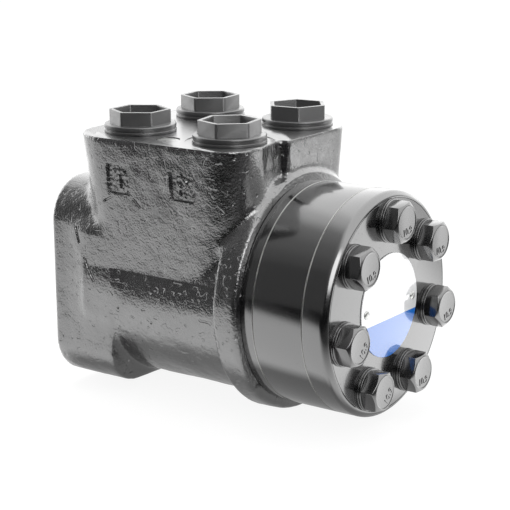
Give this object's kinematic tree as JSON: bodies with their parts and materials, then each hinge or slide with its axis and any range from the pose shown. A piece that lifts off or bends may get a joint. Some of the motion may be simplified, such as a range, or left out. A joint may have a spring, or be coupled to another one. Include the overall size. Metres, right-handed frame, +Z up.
{
  "type": "orbital steering unit",
  "caption": "Hydrostatic steering unit: cast valve housing with ports on top, splined spool and sleeve inside, and a bolted orbital gear set under a round end cap.",
  "frame": {"origin": "centre of the mounting face, on the axis of the input spline", "axes": "+X along the main axis from the mounting face to the end cap, +Z up through the port face, -Y towards the tank and pressure ports"},
  "size_m": [0.169, 0.113, 0.1387],
  "materials": {
    "cast_black": "gloss black paint over rough casting",
    "gloss_black": "gloss black paint over machined steel",
    "black_bolt": "gloss black paint over forged steel",
    "plug_plastic": "moulded black polyethylene",
    "plate_foil": "white and blue printed aluminium",
    "rivet_steel": "bright steel",
    "ground_steel": "ground and hardened",
    "spring_steel": "blued spring steel",
    "bearing_steel": "polished",
    "nitrile": "moulded nitrile",
    "glide_plastic": "filled PTFE"
  },
  "bodies": {
    "root": {"housing": "cast_black", "distributor_plate": "gloss_black", "stator_ring": "gloss_black", "end_cap": "gloss_black", "cap_bolts": "black_bolt", "pin_bolt": "black_bolt", "bolt_washers": "black_bolt", "name_plate": "plate_foil", "plate_rivets": "rivet_steel", "plug_tank": "plug_plastic", "plug_pressure": "plug_plastic", "plug_left": "plug_plastic", "plug_right": "plug_plastic", "check_plug": "rivet_steel", "check_bush": "ground_steel", "housing_o_ring": "nitrile", "plate_o_ring": "nitrile", "cap_o_ring": "nitrile", "shaft_o_ring": "nitrile", "dust_seal": "nitrile", "glide_ring": "glide_plastic", "bearing_race_rear": "bearing_steel"},
    "sleeve": {"sleeve": "ground_steel", "cross_pin": "ground_steel", "flat_springs": "spring_steel", "arched_springs": "spring_steel", "spring_ring": "spring_steel", "bearing_race_front": "bearing_steel"},
    "spool": {"spool": "ground_steel"},
    "orbit": {"rotor_spacer": "ground_steel"},
    "rotor": {"rotor": "ground_steel"},
    "drive_shaft": {"drive_shaft": "ground_steel"},
    "bearing_cage": {"bearing_cage": "spring_steel", "bearing_needles": "bearing_steel"},
    "check_ball": {"check_ball": "bearing_steel"},
    "suction_ball": {"suction_ball": "bearing_steel"}
  },
  "joints": [
    {"name": "sleeve_turn", "type": "hinge", "parent": "root", "child": "sleeve", "pos_m": [0.058, 0, 0], "axis": [1, 0, 0], "continuous": true},
    {"name": "spool_turn", "type": "hinge", "parent": "sleeve", "child": "spool", "pos_m": [0.058, 0, 0], "axis": [1, 0, 0], "range_deg": [-10, 10], "stiffness_Nm_per_rad": 6, "deforming": ["arched_springs"]},
    {"name": "rotor_orbit", "type": "hinge", "parent": "root", "child": "orbit", "pos_m": [0.1346, 0, 0], "axis": [1, 0, 0], "continuous": true},
    {"name": "rotor_turn", "type": "hinge", "parent": "orbit", "child": "rotor", "pos_m": [0.1346, 0, 0.003], "axis": [1, 0, 0], "continuous": true},
    {"name": "drive_shaft_turn", "type": "hinge", "parent": "orbit", "child": "drive_shaft", "pos_m": [0.058, 0, 0], "axis": [0.9992, 0, 0.0391], "continuous": true},
    {"name": "bearing_turn", "type": "hinge", "parent": "root", "child": "bearing_cage", "pos_m": [0.022, 0, 0], "axis": [1, 0, 0], "continuous": true},
    {"name": "check_ball_lift", "type": "slide", "parent": "root", "child": "check_ball", "axis": [0, 0, 1], "range_m": [0, 0.0017]},
    {"name": "suction_ball_lift", "type": "slide", "parent": "root", "child": "suction_ball", "axis": [1, 0, 0], "range_m": [0, 0.0015]}
  ],
  "couplings": [
    {"joint": "rotor_orbit", "follows": "sleeve_turn", "ratio": -6},
    {"joint": "rotor_turn", "follows": "sleeve_turn", "ratio": 7},
    {"joint": "drive_shaft_turn", "follows": "sleeve_turn", "ratio": 7},
    {"joint": "bearing_turn", "follows": "sleeve_turn", "ratio": 0.5}
  ]
}
